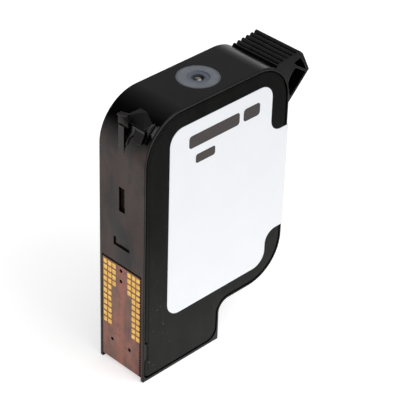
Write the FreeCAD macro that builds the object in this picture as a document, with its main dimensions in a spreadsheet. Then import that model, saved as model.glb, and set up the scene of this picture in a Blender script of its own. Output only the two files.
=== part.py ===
import FreeCAD, Part
import math
import os
import Sketcher
from FreeCAD import Placement, Rotation, Vector

# Thermal inkjet print cartridge of a date code printer: a thin upright case with a printing snout at
# the bottom front, gold contacts on the front face and a finger grip at the upper back.
# Axes while modelling: X from the contact face (0) towards the grip, Y across the thickness,
# Z up from the foot of the snout (0). Every sub-part is then placed with the case centred on X.

DOC = FreeCAD.newDocument("PrintCartridge")
SHEET = DOC.addObject("Spreadsheet::Sheet", "Sizes")

SIZES = {
    # how far a cut runs past a face or a join runs into its neighbour, and a cut through the whole case
    "overlap": 1.0,
    "through_cut": 19.6,
    # overall case
    "case_height": 84.0,
    "case_width": 17.6,
    "case_depth": 54.0,
    "snout_depth": 29.5,
    "belly_height": 12.9,
    "overall_length": 61.95,
    "front_corner": 13.0,
    "back_corner_top": 12.5,
    "back_corner_low": 12.5,
    "belly_corner": 3.6,
    "toe_corner": 0.35,
    "edge_round": 0.25,
    # walls of the outer frame and the chamber that they enclose
    "front_wall": 2.6,
    "back_wall": 2.0,
    "top_wall": 2.2,
    "belly_wall": 2.0,
    "snout_floor": 2.4,
    "chamber_corner_snout": 1.0,
    "chamber_corner_front": 10.4,
    "chamber_corner_top": 10.3,
    "chamber_corner_low": 10.5,
    # rim round each side cover
    "rim_front": 0.45,
    "rim_top": 0.75,
    "rim_back": 0.55,
    "rim_snout": 0.65,
    "rim_belly": 0.65,
    "rim_foot": 0.95,
    "cover_toe": 1.6,
    "cover_heel": 3.5,
    "cover_gap": 0.38,
    "cover_thickness": 0.8,
    "cover_panel_rise": 0.1,
    "cover_band": 1.2,
    "snap_low": 7.8,
    "snap_high": 13.4,
    "snap_reach": 0.8,
    "snap_corner": 0.6,
    # front face details
    "slot_width": 2.3,
    "slot_centre": -0.15,
    "slot_low": 53.4,
    "slot_high": 61.1,
    "slot_depth": 0.95,
    "recess_half": 3.15,
    "recess_low": 41.5,
    "recess_high": 44.3,
    "recess_depth": 0.5,
    "flex_bed_half": 7.85,
    "flex_bed_top": 36.1,
    "flex_bed_depth": 0.2,
    "foot_bed_height": 1.0,
    "foot_bed_length": 27.6,
    "bed_corner": 0.8,
    # key fin on the upper front corner and the wider, thin head on it
    "fin_left": 1.2,
    "fin_right": -0.8,
    "fin_low": 71.5,
    "fin_root": 6.0,
    "head_front": 0.5,
    "head_left": 1.9,
    "head_right": -1.9,
    "head_right_top": -0.3,
    "head_sweep": 1.1,
    "head_thickness": 1.2,
    "head_low": 80.2,
    "head_lip_low": 82.45,
    "head_lip": 0.45,
    "lip_reach": 0.25,
    # key lug beside the fin: a sloping face under a short upright band, and a cap above a gap
    "lug_front": 1.5,
    "lug_foot_front": 0.15,
    "lug_back": 9.0,
    "lug_right": -6.9,
    "lug_left": -3.75,
    "lug_low": 77.4,
    "lug_band_low": 80.1,
    "lug_top": 80.85,
    "cap_low": 81.2,
    "cap_top": 82.5,
    "cap_right": -6.6,
    "cap_right_top": -2.0,
    "cap_right_front": 6.15,
    "cap_left_top": 0.4,
    "cap_left_front": 2.6,
    "neck_inset": 0.5,
    # web that leans from the foot of the fin to the top of the lug
    "web_low": 75.0,
    "web_low_front": 0.3,
    "web_bend": 76.9,
    "web_bend_front": 0.95,
    "web_knee": 78.4,
    "web_low_left": -1.0,
    "web_knee_left": -1.3,
    "web_top_left": -2.35,
    "web_width_low": 0.6,
    "web_width_bend": 0.9,
    "web_width_knee": 1.6,
    "web_width_top": 1.5,
    # crush ribs beside the cover on the same corner
    "crush_rib_width": 0.5,
    "crush_rib_pitch": 1.5,
    "crush_rib_first": -8.45,
    "crush_rib_rise": 0.55,
    "crush_rib_front": 2.65,
    "crush_rib_back": 4.6,
    "crush_rib_low": 80.0,
    "crush_rib_high": 81.8,
    # belly pad
    "belly_pad_start": 35.0,
    "belly_pad_end": 40.0,
    "belly_pad_drop": 0.5,
    "belly_pad_width": 16.0,
    # finger grip
    "grip_half": 8.35,
    "grip_foot": 48.7,
    "grip_foot_height": 82.35,
    "grip_crown": 58.2,
    "grip_top": 83.35,
    "grip_nose_height": 76.45,
    "grip_root": 68.35,
    "nose_round": 0.45,
    "groove_first": 50.1,
    "groove_pitch": 1.71,
    "groove_climb": 0.18,
    "groove_mouth": 1.32,
    "groove_floor": 0.4,
    "groove_low": 81.8,
    "groove_cut": 0.91,
    "groove_end": 0.45,
    "groove_count": 5,
    # triangular hollow under the crown of the grip, web below it and scooped hollow under the web
    "crown_hollow_left": 55.6,
    "crown_hollow_low": 76.8,
    "crown_hollow_height": 80.75,
    "crown_hollow_top": 81.55,
    "crown_hollow_knee": 57.3,
    "crown_hollow_knee_height": 79.2,
    "crown_hollow_nose": 60.9,
    "crown_hollow_right": 59.5,
    "crown_hollow_right_height": 79.6,
    "grip_web": 0.65,
    "scoop_left": 54.5,
    "scoop_low": 70.6,
    "scoop_waist": 74.2,
    "scoop_hip": 72.5,
    "scoop_top": 78.7,
    "scoop_lean": 2.4,
    "scoop_turn": 0.05,
    "scoop_foot": 0.6,
    "scoop_nose": 60.6,
    "scoop_nose_drop": 0.5,
    "scoop_corner": 57.0,
    "scoop_flare": 0.2,
    "scoop_bevel": 0.9,
    "scoop_depth": 1.3,
    # ink bag, its plates and spring
    "liner_half": 7.2,
    "liner_wall": 1.4,
    "film_thickness": 0.1,
    "film_margin": 0.3,
    "guard_thickness": 0.1,
    "plate_thickness": 0.4,
    "plate_front": 7.0,
    "plate_back": 47.0,
    "plate_low": 27.5,
    "plate_high": 75.5,
    "plate_corner": 4.0,
    "guard_margin": 0.5,
    "plate_gap": 0.05,
    "spring_width": 10.0,
    "spring_thickness": 0.3,
    "spring_half_length": 18.5,
    "spring_tip": 0.6,
    # filling port
    "boss_x": 27.3,
    "boss_radius": 5.97,
    "boss_length": 4.7,
    "boss_dish_radius": 3.2,
    "boss_dish_depth": 0.2,
    "port_radius": 1.45,
    "port_mouth_radius": 1.7,
    "port_mouth_depth": 0.9,
    "ball_depth": 0.1,
    # standpipe and filter
    "pipe_front": 8.5,
    "pipe_back": 22.5,
    "pipe_half": 3.6,
    "pipe_bore_half": 1.0,
    "pipe_bore_margin": 1.0,
    "filter_front": 7.0,
    "filter_back": 24.0,
    "filter_height": 8.0,
    "filter_half": 3.0,
    "filter_border": 1.4,
    "screen_thickness": 0.15,
    "screen_inset": 0.5,
    # print head under the snout
    "die_front": 8.4,
    "die_length": 14.2,
    "die_half": 2.8,
    "die_thickness": 0.6,
    "bond_thickness": 0.1,
    "barrier_thickness": 0.1,
    "nozzle_plate_thickness": 0.1,
    "die_clearance": 0.2,
    "ink_slot_half": 0.5,
    "ink_slot_margin": 0.8,
    "bead_length": 0.9,
    "bead_drop": 0.4,
    "bead_slope": 0.15,
    "bead_shoulder": 0.1,
    "bead_flat_start": 0.35,
    # flex circuit
    "flex_half": 7.65,
    "flex_thickness": 0.15,
    "flex_top": 35.85,
    "flex_end": 26.8,
    "window_half": 3.1,
    "flex_hole_radius": 0.58,
    "flex_hole_shift": 0.3,
    "flex_hole_spread": 3.5,
    "flex_hole_top": 33.85,
    "flex_hole_second": 30.3,
    "flex_hole_low": 8.5,
    "pad_height": 0.05,
    "pad_width": 1.4,
    "pad_length": 1.5,
    "pad_column_first": 6.53,
    "pad_column_pitch": 1.755,
    "pad_row_first": 34.1,
    "pad_row_pitch": 2.0,
    # label
    "label_thickness": 0.12,
    "label_front": 8.8,
    "label_back": 47.15,
    "label_low": 18.25,
    "label_high": 78.3,
    "label_band_low": 28.9,
    "label_band_high": 62.2,
    "label_far_reach": 2.0,
    "label_corner": 4.6,
    "label_fillet": 4.0,
    "label_lap": 3.0,
}

# curved side of the scoop: reach from its left limit, drop from its top
SCOOP_SIDE = (("1.3", "1"), ("0.6", "2"), ("0.15", "3.2"))


def fill_sheet():
    for row, (alias, value) in enumerate(SIZES.items(), start=1):
        SHEET.set(f"A{row}", alias)
        SHEET.set(f"B{row}", str(value))
        SHEET.setAlias(f"B{row}", alias)
    DOC.recompute()


def size(name):
    return SIZES[name]


def bound(text):
    """Turn words of an expression that name a size into references to the sheet."""
    words = text.replace("(", " ( ").replace(")", " ) ").split()
    return " ".join(f"Sizes.{word}" if word in SIZES else word for word in words)


def number(text):
    """Value of a size expression made of names, numbers, + - * / and brackets."""
    return float(SHEET.evalExpression(bound(text)))


def bind(target, path, text):
    target.setExpression(path, bound(text))


def plane(body, role):
    return next(item for item in body.Origin.OriginFeatures if item.Role == role)


def new_body(name):
    body = DOC.addObject("PartDesign::Body", name)
    body.Label = name
    return body


def new_sketch(body, name, role, offset="0"):
    """A sketch on one of the body's origin planes, moved along the plane's normal."""
    sketch = body.newObject("Sketcher::SketchObject", name)
    sketch.AttachmentSupport = [(plane(body, role), "")]
    sketch.MapMode = "FlatFace"
    bind(sketch, "AttachmentOffset.Base.z", offset)
    return sketch


def toward(corner, other):
    """Direction from a corner to its neighbour, which is level with it or straight above or below."""
    across = number(other[0]) - number(corner[0])
    up = number(other[1]) - number(corner[1])
    length = math.hypot(across, up)
    return across / length, up / length


def shifted(text, radius, step):
    """Size expression moved by a radius in the direction of step, which is -1, 0 or 1."""
    if abs(step) < 0.5:
        return text
    return f"{text} + ({radius})" if step > 0 else f"{text} - ({radius})"


def corner_ends(corners, i):
    """Where the outline enters and leaves corner i: one point if it is sharp, two if it is rounded."""
    corner = corners[i]
    if len(corner) == 2:
        return [corner]
    ends = []
    for other in (corners[i - 1], corners[(i + 1) % len(corners)]):
        way = toward(corner, other)
        ends.append((shifted(corner[0], corner[2], way[0]), shifted(corner[1], corner[2], way[1])))
    return ends


def hold_point(sketch, geometry, place, point):
    """Bind a point of a sketch to size expressions."""
    for kind, text in (("DistanceX", point[0]), ("DistanceY", point[1])):
        index = sketch.addConstraint(Sketcher.Constraint(kind, geometry, place, number(text)))
        bind(sketch, f"Constraints[{index}]", text)


def add_round(sketch, corner, ends, before, after):
    """Quarter round at a right-angled corner, joined to the lines before and after it."""
    start, end = (Vector(number(a), number(b), 0) for a, b in ends)
    centre = start + end - Vector(number(corner[0]), number(corner[1]), 0)
    radius = number(corner[2])
    turns_left = (start - centre).cross(end - centre).z > 0
    low, high = (start, end) if turns_left else (end, start)
    from_angle, to_angle = (math.atan2((p - centre).y, (p - centre).x) for p in (low, high))
    if to_angle < from_angle:
        to_angle += 2 * math.pi
    circle = Part.Circle(centre, Vector(0, 0, 1), radius)
    arc = sketch.addGeometry(Part.ArcOfCircle(circle, from_angle, to_angle), False)
    first, last = (1, 2) if turns_left else (2, 1)
    sketch.addConstraint(Sketcher.Constraint("Coincident", before, 2, arc, first))
    sketch.addConstraint(Sketcher.Constraint("Coincident", arc, last, after, 1))
    held = sketch.addConstraint(Sketcher.Constraint("Radius", arc, radius))
    bind(sketch, f"Constraints[{held}]", corner[2])


def add_outline(sketch, corners):
    """Closed outline held by size expressions: (across, up) or, rounded, (across, up, radius)."""
    ends = [corner_ends(corners, i) for i in range(len(corners))]
    lines = []
    for i in range(len(corners)):
        start, end = ends[i][-1], ends[(i + 1) % len(corners)][0]
        points = [Vector(number(a), number(b), 0) for a, b in (start, end)]
        lines.append(sketch.addGeometry(Part.LineSegment(*points), False))
        hold_point(sketch, lines[-1], 1, start)
        if len(corners[(i + 1) % len(corners)]) == 3:
            hold_point(sketch, lines[-1], 2, end)
    for i, corner in enumerate(corners):
        before, after = lines[i - 1], lines[i]
        if len(corner) == 3:
            add_round(sketch, corner, ends[i], before, after)
        else:
            sketch.addConstraint(Sketcher.Constraint("Coincident", before, 2, after, 1))


def add_circle(sketch, across, up, radius):
    """Circle held by size expressions."""
    index = sketch.addGeometry(Part.Circle(Vector(number(across), number(up), 0), Vector(0, 0, 1),
                                           number(radius)), False)
    for kind, text in (("DistanceX", across), ("DistanceY", up)):
        held = sketch.addConstraint(Sketcher.Constraint(kind, index, 3, number(text)))
        bind(sketch, f"Constraints[{held}]", text)
    held = sketch.addConstraint(Sketcher.Constraint("Radius", index, number(radius)))
    bind(sketch, f"Constraints[{held}]", radius)


def box_corners(left, right, low, high):
    return [(left, low), (right, low), (right, high), (left, high)]


def solid_volume(body):
    DOC.recompute()
    return body.Shape.Volume


def pad(body, sketch, length, middle=False, flip=False):
    """Pad a sketch; middle spreads the length evenly on both sides of the sketch."""
    feature = body.newObject("PartDesign::Pad", sketch.Name + "_pad")
    feature.Profile = sketch
    feature.Midplane = middle
    feature.Reversed = flip
    bind(feature, "Length", length)
    sketch.Visibility = False
    DOC.recompute()
    return feature


def pocket(body, sketch, depth, middle=False, flip=False):
    """Cut a sketch out of the body and check that the cut removed material."""
    before = solid_volume(body)
    feature = body.newObject("PartDesign::Pocket", sketch.Name + "_cut")
    feature.Profile = sketch
    feature.Midplane = middle
    feature.Reversed = flip
    bind(feature, "Length", depth)
    sketch.Visibility = False
    if solid_volume(body) > before - 1e-6:
        raise RuntimeError(f"{feature.Name} cuts nothing")
    return feature


def pattern(body, feature, role, count, pitch):
    """Repeat a feature along an origin axis of the body."""
    repeat = body.newObject("PartDesign::LinearPattern", feature.Name + "_row")
    repeat.Originals = [feature]
    repeat.Direction = (plane(body, role), [""])
    repeat.Occurrences = count
    bind(repeat, "Length", f"{pitch} * {count - 1}")
    body.Tip = repeat
    DOC.recompute()
    return repeat


def loft(body, name, sections, role="XY_Plane", kind="Additive"):
    """Straight-sided loft through outlines on planes of one role, given as (offset, corners)."""
    sketches = []
    for index, (height, corners) in enumerate(sections):
        sketch = new_sketch(body, f"{name}_outline_{index}", role, height)
        add_outline(sketch, corners)
        sketch.Visibility = False
        sketches.append(sketch)
    feature = body.newObject(f"PartDesign::{kind}Loft", name)
    feature.Profile = sketches[0]
    feature.Sections = sketches[1:]
    feature.Ruled = True
    DOC.recompute()
    return feature


def edges_at(feature, across, up, axis="Y", reach=0.05):
    """Names of the straight edges parallel to an axis that pass a point of the plane across it."""
    names = []
    keys = {"X": ("y", "z"), "Y": ("x", "z"), "Z": ("x", "y")}[axis]
    for index, edge in enumerate(feature.Shape.Edges, start=1):
        if edge.Curve.TypeId != "Part::GeomLine":
            continue
        way = edge.Vertexes[-1].Point - edge.Vertexes[0].Point
        if abs(getattr(way.normalize(), axis.lower())) < 0.999:
            continue
        middle = edge.CenterOfMass
        if abs(getattr(middle, keys[0]) - across) < reach and abs(getattr(middle, keys[1]) - up) < reach:
            names.append(f"Edge{index}")
    return names


def round_corners(body, corners, axis="Y"):
    """Fillet edges parallel to an axis, given as (across, up, radius) size expressions."""
    for across, up, radius in corners:
        base = body.Tip
        names = edges_at(base, number(across), number(up), axis)
        if not names:
            raise RuntimeError(f"{body.Label}: no edge at {across}, {up}")
        fillet = body.newObject("PartDesign::Fillet", body.Name + "_round")
        fillet.Base = (base, names)
        bind(fillet, "Radius", radius)
        DOC.recompute()
        if not fillet.Shape.isValid() or fillet.Shape.isNull():
            raise RuntimeError(f"{body.Label}: fillet failed at {across}, {up}")


def soften(body, level, radius):
    """Round every edge of the body that lies on the plane Y = level."""
    base = body.Tip
    names = []
    for index, edge in enumerate(base.Shape.Edges, start=1):
        box = edge.BoundBox
        if abs(box.YMin - level) < 1e-4 and abs(box.YMax - level) < 1e-4:
            names.append(f"Edge{index}")
    fillet = body.newObject("PartDesign::Fillet", f"{body.Name}_soft")
    fillet.Base = (base, names)
    bind(fillet, "Radius", radius)
    DOC.recompute()
    if fillet.Shape.isNull() or not fillet.Shape.isValid():
        raise RuntimeError(f"{body.Label}: edges at Y = {level} cannot be rounded")


def case_outline():
    """Side profile of the case, from the toe of the snout."""
    return [("0", "0", "toe_corner"), ("snout_depth", "0"),
            ("snout_depth", "belly_height", "belly_corner"),
            ("case_depth", "belly_height", "back_corner_low"),
            ("case_depth", "case_height", "back_corner_top"), ("0", "case_height", "front_corner")]


def inset_outline(inset):
    """Profile inside the rim of the case; inset is added to each rim width."""
    front = f"rim_front + {inset}"
    foot = f"rim_foot + {inset}"
    snout = f"snout_depth - rim_snout - ({inset})"
    belly = f"belly_height + rim_belly + {inset}"
    back = f"case_depth - rim_back - ({inset})"
    top = f"case_height - rim_top - ({inset})"
    return [(front, foot, "cover_toe"), (snout, foot, "cover_heel"),
            (snout, belly, f"belly_corner + rim_snout + {inset}"),
            (back, belly, f"back_corner_low - rim_belly - ({inset})"),
            (back, top, f"back_corner_top - rim_back - ({inset})"),
            (front, top, f"front_corner - rim_front - ({inset})")]


def chamber_outline(inset):
    """Chamber behind the covers that holds the ink bag, shrunk by inset."""
    front = f"front_wall + {inset}"
    back = f"case_depth - back_wall - ({inset})"
    low = f"belly_height + belly_wall + {inset}"
    top = f"case_height - top_wall - ({inset})"
    return [(front, low, "chamber_corner_snout"), (back, low, f"chamber_corner_low - ({inset})"),
            (back, top, f"chamber_corner_top - ({inset})"),
            (front, top, f"chamber_corner_front - ({inset})")]


def frame_shell(body):
    profile = new_sketch(body, "frame_profile", "XZ_Plane")
    add_outline(profile, case_outline())
    pad(body, profile, "case_width", middle=True)
    soften(body, size("case_width") / 2, "edge_round")
    soften(body, -size("case_width") / 2, "edge_round")


def grip_outline():
    """Finger grip profile: rising top plate, rounded nose and the slope back down to the case."""
    return [("grip_foot", "grip_foot_height - overlap * 2"), ("grip_foot", "grip_foot_height - nose_round"),
            ("grip_foot + nose_round", "grip_foot_height"), ("grip_crown", "grip_top"),
            ("grip_crown + nose_round * 2", "grip_top - nose_round * 2"),
            ("overall_length - nose_round / 3", "grip_nose_height + nose_round"),
            ("overall_length", "grip_nose_height"),
            ("overall_length - nose_round", "grip_nose_height - nose_round"),
            ("case_depth - overlap / 10", "grip_root"), ("case_depth - overlap", "grip_root")]


def groove_corners(index):
    """Section of one finger groove; the grooves climb with the top plate."""
    middle = f"groove_first + {index} * groove_pitch"
    floor = f"groove_low + {index} * groove_climb"
    mouth = f"{floor} + groove_cut"
    return [(f"{middle} - groove_mouth / 2", mouth), (f"{middle} - groove_floor / 2", floor),
            (f"{middle} + groove_floor / 2", floor), (f"{middle} + groove_mouth / 2", mouth)]


def crown_hollow():
    """Triangular hollow between the crown and the nose of the grip."""
    return [("crown_hollow_left", "crown_hollow_height"), ("crown_hollow_knee", "crown_hollow_knee_height"),
            ("crown_hollow_nose", "crown_hollow_low"), ("crown_hollow_right", "crown_hollow_right_height"),
            ("grip_crown", "crown_hollow_top")]


def scoop(bevel):
    """Hollow under the web of the grip; bevel widens it towards the case."""
    left = f"scoop_left - {bevel}"
    side = [(f"{left} + {across}", f"scoop_top - {drop}") for across, drop in SCOOP_SIDE]
    return [(f"{left} + scoop_lean", f"scoop_top + {bevel} / 3"), *side, (left, "scoop_waist"),
            (f"{left} + scoop_turn", "scoop_hip"), ("scoop_left + scoop_foot", "scoop_low"),
            ("scoop_nose", "grip_nose_height - scoop_nose_drop"),
            ("scoop_nose", "crown_hollow_low - grip_web"), ("scoop_corner", "scoop_top")]


def frame_grip(body):
    """Hollow finger grip with grooves across its top plate, open at the far end."""
    outline = new_sketch(body, "grip_profile", "XZ_Plane")
    add_outline(outline, grip_outline())
    pad(body, outline, "grip_half * 2", middle=True)
    grooves = new_sketch(body, "grip_grooves", "XZ_Plane", "grip_half - groove_end")
    for index in range(int(size("groove_count"))):
        add_outline(grooves, groove_corners(index))
    pocket(body, grooves, "grip_half * 2")
    for name, corners in (("crown_hollow", crown_hollow()), ("scoop", scoop("0"))):
        hollow = new_sketch(body, name, "XZ_Plane")
        add_outline(hollow, corners)
        pocket(body, hollow, "through_cut", middle=True)
    for side, sign in (("right", ""), ("left", "0 - ")):
        loft(body, f"{side}_scoop", [(f"{sign}(grip_half + scoop_flare)", scoop("scoop_bevel")),
                                     (f"{sign}(grip_half - scoop_depth)", scoop("0"))],
             "XZ_Plane", "Subtractive")


def frame_key_fin(body):
    """Fin flush with the front face, and a thin bent head on it with a lip along the top."""
    fin = new_sketch(body, "key_fin", "XY_Plane", "fin_low")
    add_outline(fin, box_corners("0", "fin_root", "fin_right", "fin_left"))
    pad(body, fin, "head_low - fin_low")
    bent = "head_front + head_sweep"
    loft(body, "key_head", [
        ("head_low", box_corners("head_front", "head_front + head_thickness", "head_right",
                                 "head_left")),
        ("head_lip_low", [(bent, "head_right_top"), (f"{bent} + head_thickness", "head_right_top"),
                          ("head_front + head_thickness", "head_left"),
                          ("head_front", "head_left")])])
    lip = new_sketch(body, "key_lip", "XY_Plane", "head_lip_low")
    add_outline(lip, [(f"{bent} - lip_reach", "head_right_top - lip_reach"),
                      (f"{bent} + head_thickness", "head_right_top - lip_reach"),
                      ("head_front + head_thickness", "head_left + lip_reach / 2"),
                      ("head_front - lip_reach", "head_left + lip_reach / 2")])
    pad(body, lip, "head_lip")


def frame_key_lug(body):
    """Lug whose face slopes out towards its foot, and its cap, which slopes back into the corner."""
    level = box_corners("lug_front", "lug_back", "lug_right", "lug_left")
    loft(body, "key_lug", [
        ("lug_low", box_corners("lug_foot_front", "lug_back", "lug_right", "lug_left")),
        ("lug_band_low", level), ("lug_top", level)])
    neck = new_sketch(body, "key_neck", "XY_Plane", "lug_top")
    add_outline(neck, box_corners("lug_front + neck_inset", "lug_back", "lug_right + neck_inset",
                                  "fin_right"))
    pad(body, neck, "cap_low - lug_top")
    loft(body, "key_cap", [
        ("cap_low", box_corners("lug_front", "lug_back", "cap_right", "fin_right")),
        ("cap_top", [("cap_right_front", "cap_right_top"), ("lug_back", "cap_right_top"),
                     ("lug_back", "cap_left_top"), ("cap_left_front", "cap_left_top")])])


def frame_key_web(body):
    """Web on the corner that widens upwards and leans from the fin over to the lug."""
    steps = [("web_low", "web_low_front", "web_low_left", "web_width_low"),
             ("web_bend", "web_bend_front", "fin_right", "web_width_bend"),
             ("web_knee", "lug_front", "web_knee_left", "web_width_knee"),
             ("lug_top", "lug_front", "web_top_left", "web_width_top")]
    loft(body, "key_web", [(height, box_corners(front, "fin_root", f"{left} - {width}", left))
                           for height, front, left, width in steps])


def frame_crush_ribs(body):
    """Two short ribs round the front corner beside the cover."""
    rib = new_sketch(body, "crush_rib", "XZ_Plane", "0 - crush_rib_first")
    rise = "crush_rib_rise"
    add_outline(rib, [(f"crush_rib_front + {rise}", f"crush_rib_low - {rise}"),
                      (f"crush_rib_back + {rise}", f"crush_rib_high - {rise}"),
                      ("crush_rib_back", "crush_rib_high"), ("crush_rib_front", "crush_rib_low")])
    first = pad(body, rib, "crush_rib_width", flip=True)
    pattern(body, first, "Y_Axis", 2, "crush_rib_pitch")


def frame_openings(body):
    """Chamber, snout cavity, cover seats and their snap tongues."""
    through = "through_cut"
    chamber = new_sketch(body, "chamber", "XZ_Plane")
    add_outline(chamber, chamber_outline("0"))
    pocket(body, chamber, through, middle=True)
    cavity = new_sketch(body, "snout_cavity", "XZ_Plane")
    add_outline(cavity, box_corners("front_wall", "snout_depth - back_wall", "snout_floor",
                                    "belly_height + belly_wall + overlap"))
    pocket(body, cavity, through, middle=True)
    tongue = "snap_reach + rim_front"
    for side, flip in (("left", True), ("right", False)):
        offset = "0 - case_width / 2" if side == "left" else "case_width / 2"
        seat = new_sketch(body, f"{side}_cover_seat", "XZ_Plane", offset)
        add_outline(seat, inset_outline("0"))
        pocket(body, seat, "cover_thickness + cover_panel_rise", flip=flip)
        snap = new_sketch(body, f"{side}_snap_tongue", "XZ_Plane", offset)
        add_outline(snap, [("rim_front - overlap / 10", "snap_low"), (tongue, "snap_low", "snap_corner"),
                           (tongue, "snap_high", "snap_corner"), ("rim_front - overlap / 10", "snap_high")])
        pad(body, snap, "cover_thickness + cover_panel_rise", flip=not flip)


def frame_front(body):
    """Slot, shallow recess and the beds that the flex circuit lies in."""
    slot = new_sketch(body, "latch_slot", "YZ_Plane")
    add_outline(slot, box_corners("slot_centre - slot_width / 2", "slot_centre + slot_width / 2",
                                  "slot_low", "slot_high"))
    pocket(body, slot, "slot_depth", flip=True)
    recess = new_sketch(body, "front_recess", "YZ_Plane")
    add_outline(recess, box_corners("0 - recess_half", "recess_half", "recess_low", "recess_high"))
    pocket(body, recess, "recess_depth", flip=True)
    bed = new_sketch(body, "flex_bed", "YZ_Plane")
    add_outline(bed, box_corners("0 - flex_bed_half", "flex_bed_half", "0 - overlap", "flex_bed_top"))
    pocket(body, bed, "flex_bed_depth", flip=True)
    foot = new_sketch(body, "foot_bed", "XY_Plane")
    add_outline(foot, box_corners("0 - overlap", "foot_bed_length", "0 - flex_bed_half", "flex_bed_half"))
    pocket(body, foot, "foot_bed_height", flip=True)
    round_corners(body, [("flex_bed_depth", "foot_bed_height", "bed_corner")])


def frame_head_land(body):
    """Pocket for the printhead die, ink slot above it, and the flex circuit's locating holes."""
    land = new_sketch(body, "die_pocket", "XY_Plane", "foot_bed_height")
    add_outline(land, box_corners("die_front - die_clearance", "die_front + die_length + die_clearance",
                                  "0 - die_half - die_clearance", "die_half + die_clearance"))
    pocket(body, land, "barrier_thickness + die_thickness + bond_thickness", flip=True)
    ink = new_sketch(body, "floor_ink_slot", "XY_Plane", "foot_bed_height")
    add_outline(ink, ink_slot_corners())
    pocket(body, ink, "snout_floor", flip=True)
    holes = new_sketch(body, "locating_holes", "YZ_Plane")
    for across, up in flex_hole_places():
        add_circle(holes, across, up, "flex_hole_radius")
    pocket(body, holes, "front_wall / 2", flip=True)


def flex_hole_places():
    """Centres (Y, Z) of the flex circuit's locating holes."""
    return [("flex_hole_shift", "flex_hole_top"), ("flex_hole_shift", "flex_hole_second"),
            ("flex_hole_shift + flex_hole_spread", "flex_hole_low"),
            ("flex_hole_shift - flex_hole_spread", "flex_hole_low")]


def frame_belly_pad(body):
    """Low pad under the belly, behind the snout."""
    outline = new_sketch(body, "belly_pad", "XZ_Plane")
    add_outline(outline, box_corners("belly_pad_start", "belly_pad_end",
                                     "belly_height - belly_pad_drop", "belly_height + overlap / 5"))
    pad(body, outline, "belly_pad_width", middle=True)


def outer_frame():
    """Moulded case with its snout, key, grip and the seats of the covers and the printhead."""
    body = new_body("outer_frame")
    frame_shell(body)
    frame_grip(body)
    frame_key_fin(body)
    frame_key_lug(body)
    frame_key_web(body)
    frame_crush_ribs(body)
    frame_belly_pad(body)
    frame_openings(body)
    frame_front(body)
    frame_head_land(body)
    port = new_sketch(body, "boss_bore", "XY_Plane", "case_height")
    add_circle(port, "boss_x", "0", "boss_radius")
    pocket(body, port, "top_wall + overlap")
    return body


def inner_frame():
    """Liner of the chamber with the filling boss and the standpipe, moulded inside the outer frame."""
    body = new_body("inner_frame")
    ring = new_sketch(body, "liner_profile", "XZ_Plane")
    add_outline(ring, chamber_outline("0"))
    pad(body, ring, "liner_half * 2", middle=True)
    boss = new_sketch(body, "filling_boss", "XY_Plane", "case_height")
    add_circle(boss, "boss_x", "0", "boss_radius")
    pad(body, boss, "boss_length", flip=True)
    pipe = new_sketch(body, "standpipe", "XY_Plane", "snout_floor")
    add_outline(pipe, box_corners("pipe_front", "pipe_back", "0 - pipe_half", "pipe_half"))
    pad(body, pipe, "belly_height + belly_wall - snout_floor + overlap / 2")
    space = new_sketch(body, "bag_space", "XZ_Plane")
    add_outline(space, chamber_outline("liner_wall"))
    pocket(body, space, "through_cut", middle=True)
    dish = new_sketch(body, "boss_dish", "XY_Plane", "case_height")
    add_circle(dish, "boss_x", "0", "boss_dish_radius")
    pocket(body, dish, "boss_dish_depth")
    bore = new_sketch(body, "filling_bore", "XY_Plane", "case_height")
    add_circle(bore, "boss_x", "0", "port_radius")
    pocket(body, bore, "boss_length + overlap * 1.5")
    mouth = new_sketch(body, "filling_mouth", "XY_Plane", "case_height")
    add_circle(mouth, "boss_x", "0", "port_mouth_radius")
    pocket(body, mouth, "boss_dish_depth + port_mouth_depth")
    channel = new_sketch(body, "ink_channel", "XY_Plane", "snout_floor")
    add_outline(channel, box_corners("pipe_front + pipe_bore_margin", "pipe_back - pipe_bore_margin",
                                     "0 - pipe_bore_half", "pipe_bore_half"))
    pocket(body, channel, "belly_height + belly_wall", flip=True)
    return body


def side_cover(side):
    """Flat cover in the rim of one side, with a slightly raised panel and a notch for the snap tongue."""
    body = new_body(f"{side}_side_cover")
    toward_left = side == "left"
    inner = "case_width / 2 - cover_thickness - cover_panel_rise"
    offset = f"0 - ({inner})" if toward_left else inner
    edge = "case_width / 2 - cover_panel_rise"
    plate = new_sketch(body, f"{side}_cover_plate", "XZ_Plane", offset)
    add_outline(plate, inset_outline("cover_gap"))
    pad(body, plate, "cover_thickness", flip=toward_left)
    soften(body, number(edge) * (1 if toward_left else -1), "edge_round")
    rise = new_sketch(body, f"{side}_cover_panel", "XZ_Plane", f"0 - ({edge})" if toward_left else edge)
    add_outline(rise, inset_outline("cover_gap + cover_band"))
    pad(body, rise, "cover_panel_rise", flip=toward_left)
    notch = new_sketch(body, f"{side}_snap_notch", "XZ_Plane")
    add_outline(notch, box_corners("0", "snap_reach + rim_front + cover_gap", "snap_low - cover_gap",
                                   "snap_high + cover_gap"))
    pocket(body, notch, "through_cut", middle=True)
    return body


def bag_film(side):
    """Heat-sealed film that closes one side of the ink bag."""
    body = new_body(f"{side}_bag_film")
    toward_left = side == "left"
    offset = "0 - liner_half" if toward_left else "liner_half"
    sheet = new_sketch(body, f"{side}_film_sheet", "XZ_Plane", offset)
    add_outline(sheet, chamber_outline("film_margin"))
    pad(body, sheet, "film_thickness", flip=toward_left)
    return body


def plate_outline(margin):
    corners = box_corners(f"plate_front - ({margin})", f"plate_back + {margin}",
                          f"plate_low - ({margin})", f"plate_high + {margin}")
    return [(across, up, f"plate_corner + {margin}") for across, up in corners]


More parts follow.
